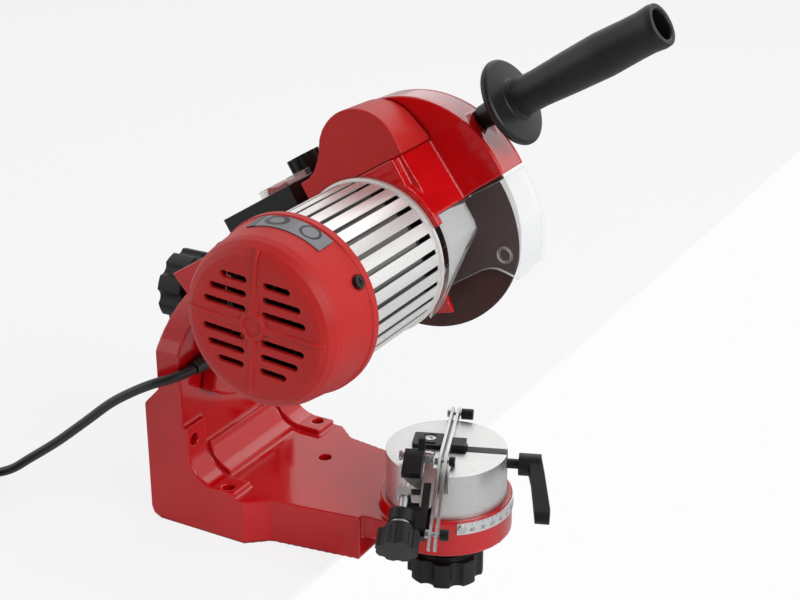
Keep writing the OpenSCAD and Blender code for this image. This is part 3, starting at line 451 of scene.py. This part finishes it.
# how far the edges of the other pieces are rounded, in millimetres
EDGES = {"handle": 0.8, "tilt_knob": 1.0, "swivel_knob": 1.0, "stop_knob": 0.8, "depth_knob": 0.8,
         "switch_box": 0.8, "clamp_lever": 0.8, "clamp_block": 0.5, "rail_caps": 0.4,
         "stop_body": 0.5, "stop_pawl": 0.3, "index_plate": 0.4, "turntable": 0.5,
         "fixed_rail": 0.3, "moving_rail": 0.3, "rocker": 0.5, "plug": 0.6, "guard_cover": 0.5,
         "cap_screws": 0.25, "scale_screws": 0.25, "rail_bolts": 0.2, "stop_slide": 0.3,
         "switch_frame": 0.3, "motor_housing": 0.2}
for name in N:
    if name not in (*CASTS, "cord_run", "cord_coil"): crisp(name, EDGES.get(name, 0.0))
for name, how in CASTS.items(): cast(name, *how)

# ---------------------------------------------------------------- ribs that cross the cap's end
CAP_TURN = math.radians(4.5)
CAP_RIM_Y, RIB_R, RIB_SIDES, RIB_STEPS = -145, 1.5, 16, 5
CAP_OFF_X, CAP_OFF_Z = -0.6, 1.7            # the ribs' crossing, off the motor's axis
# a rib from the middle outward: distance from the middle, and from the cap's rim along the motor
RIB_LINE = ((8, 44.6), (24, 44.6), (39, 44.6), (43.5, 43.6), (46.8, 41.6))
EX = Vector((math.cos(CAP_TURN), 0, -math.sin(CAP_TURN)))
EZ = Vector((math.sin(CAP_TURN), 0, math.cos(CAP_TURN)))
CAP_MID = MOTOR / MM + CAP_OFF_X * EX + CAP_OFF_Z * EZ
bm = bmesh.new()
for d in (EX, -EX, EZ, -EZ):
    line = [CAP_MID + r * d + Vector((0, CAP_RIM_Y - h, 0)) for r, h in RIB_LINE]
    bar = tube("bar", spline(line, RIB_STEPS), RIB_R, RIB_SIDES)
    bm.from_mesh(bar)
    bpy.data.meshes.remove(bar)
link("cap_ribs", mesh_from(bm, "cap_ribs"), "arm", "red_plastic")

# ---------------------------------------------------------------- angle scale: ticks and plain numbers
SCALE_R, SCALE_Z = 0.04795, 0.0342          # just off the strip's face, and its foot
SCALE_END, TICK_STEP, NUMBER_STEP = 40, 5, 10
TICK_TOP, TICK_HALF, TICK_LONG, TICK_SHORT = 0.0084, 0.00012, 0.0026, 0.0017
NUMBER_SIZE, NUMBER_FOOT = 0.0042, 0.0018

def on_ring(points, degrees):
    """Flat (x, y) points laid on the scale strip, x along it and y up."""
    out = []
    for x, y in points:
        a = math.radians(degrees) + x / SCALE_R
        out.append((SCALE_R * math.cos(a) + TABLE.x, SCALE_R * math.sin(a) + TABLE.y, SCALE_Z + y))
    return out

verts, faces = [], []
for deg in range(-SCALE_END, SCALE_END + 1, TICK_STEP):
    foot = TICK_TOP - (TICK_SHORT if deg % NUMBER_STEP else TICK_LONG)
    k = len(verts)
    verts += on_ring([(-TICK_HALF, TICK_TOP), (TICK_HALF, TICK_TOP),
                      (TICK_HALF, foot), (-TICK_HALF, foot)], deg)
    faces.append((k, k + 3, k + 2, k + 1))
for deg in range(-SCALE_END, SCALE_END + 1, NUMBER_STEP):
    text = bpy.data.curves.new("number", "FONT")
    text.body, text.size, text.align_x = str(abs(deg)), NUMBER_SIZE, "CENTER"
    text.resolution_u = 3
    flat = applied(shown("number", text))
    k = len(verts)
    verts += on_ring([(v.co.x, v.co.y + NUMBER_FOOT) for v in flat.vertices], deg)
    faces += [tuple(k + i for i in p.vertices) for p in flat.polygons]
mesh = bpy.data.meshes.new("scale_numbers")
mesh.from_pydata(verts, [], faces)
link("scale_numbers", mesh, "base", "black_plastic")

# ---------------------------------------------------------------- lights
def area(name, place, size, watts, target):
    d = bpy.data.lights.new(name, "AREA")
    d.shape, d.size, d.energy = "SQUARE", size, watts
    o = shown(name, d)
    o.location = place
    o.rotation_euler = (Vector(target) - Vector(place)).to_track_quat("-Z", "Y").to_euler()

MIDDLE = (0.03, 0, 0.12)
area("key", (1.75, -0.45, 1.15), 1.2, 24, (0.05, -0.05, 0.15))
area("fill", (-1.5, -1.1, 0.9), 1.4, 5, MIDDLE)
area("rim", (0.0, 1.4, 1.5), 1.2, 5, MIDDLE)

# ---------------------------------------------------------------- world
def studio():
    """Pale studio: white to the eye and in reflections of its far side, dimmer for the rest."""
    near_level, far_extra = 0.34, 0.24      # light from the camera's side, and more from the far side
    glossy_cut, near_from = 0.6, 0.7
    world = bpy.data.worlds.new("studio")
    bpy.context.scene.world = world
    world.use_nodes = True
    nt = world.node_tree
    dim = nt.nodes["Background"]
    dim.inputs["Color"].default_value = (0.92, 0.94, 0.96, 1)
    white = add(nt, "ShaderNodeBackground")
    white.inputs["Color"].default_value = (1, 1, 1, 1)
    ray = add(nt, "ShaderNodeLightPath").outputs
    toward = add(nt, "ShaderNodeVectorMath", operation="DOT_PRODUCT")
    nt.links.new(add(nt, "ShaderNodeTexCoord").outputs["Generated"], toward.inputs[0])
    toward.inputs[1].default_value = tuple(back)
    far = map_range(nt, toward.outputs["Value"], 0.0, near_from, 1.0, 0.0)
    level = maths(nt, "ADD", maths(nt, "MULTIPLY", far, far_extra), near_level)
    cut = maths(nt, "SUBTRACT", 1.0, maths(nt, "MULTIPLY", ray["Is Glossy Ray"], glossy_cut))
    nt.links.new(maths(nt, "MULTIPLY", level, cut), dim.inputs["Strength"])
    seen = maths(nt, "MAXIMUM", ray["Is Camera Ray"], ray["Is Transmission Ray"])
    shine = maths(nt, "MULTIPLY", ray["Is Glossy Ray"], far)
    nt.links.new(mix_shader(nt, maths(nt, "MAXIMUM", seen, shine), dim, white),
                 nt.nodes["World Output"].inputs["Surface"])

studio()
bpy.context.scene.view_settings.view_transform = "Standard"

# ---------------------------------------------------------------- bench and floor
def pale(name, lift):
    """White ground that keeps shadows: the camera sees its shading mixed with plain white."""
    m, nt, b = new_mat(name)
    b.inputs["Base Color"].default_value = (0.9, 0.9, 0.9, 1)
    b.inputs["Roughness"].default_value = 0.9
    b.inputs["Specular IOR Level"].default_value = 0.1
    glow = add(nt, "ShaderNodeEmission")
    glow.inputs["Color"].default_value = (0.98, 0.98, 0.98, 1)
    glow.inputs["Strength"].default_value = 1.0
    ray = add(nt, "ShaderNodeLightPath")
    fac = maths(nt, "MULTIPLY", ray.outputs["Is Camera Ray"], lift)
    nt.links.new(mix_shader(nt, fac, b, glow), nt.nodes["Material Output"].inputs["Surface"])
    return m

def slab(name, sides, mat):
    """A block between three pairs of sides."""
    bm = bmesh.new()
    bmesh.ops.create_cube(bm, size=1)
    for v in bm.verts:
        v.co = [(lo + hi) / 2 + c * (hi - lo) for c, (lo, hi) in zip(v.co, sides)]
    me = mesh_from(bm, name)
    me.materials.append(mat)
    o = shown(name, me)

# the foot and the lead stand on the bench, and its edge ends under the vise
BENCH_EDGE_X, BENCH_TOP, BENCH_UNDER = 0.085, -0.0001, -0.004
FLOOR_TOP, FLOOR_UNDER = -0.7, -0.75
slab("bench", ((-3, BENCH_EDGE_X), (-3, 4), (BENCH_UNDER, BENCH_TOP)), pale("bench_white", 0.82))
slab("room_floor", ((-4, 5), (-4, 6), (FLOOR_UNDER, FLOOR_TOP)), pale("floor_white", 1.0))
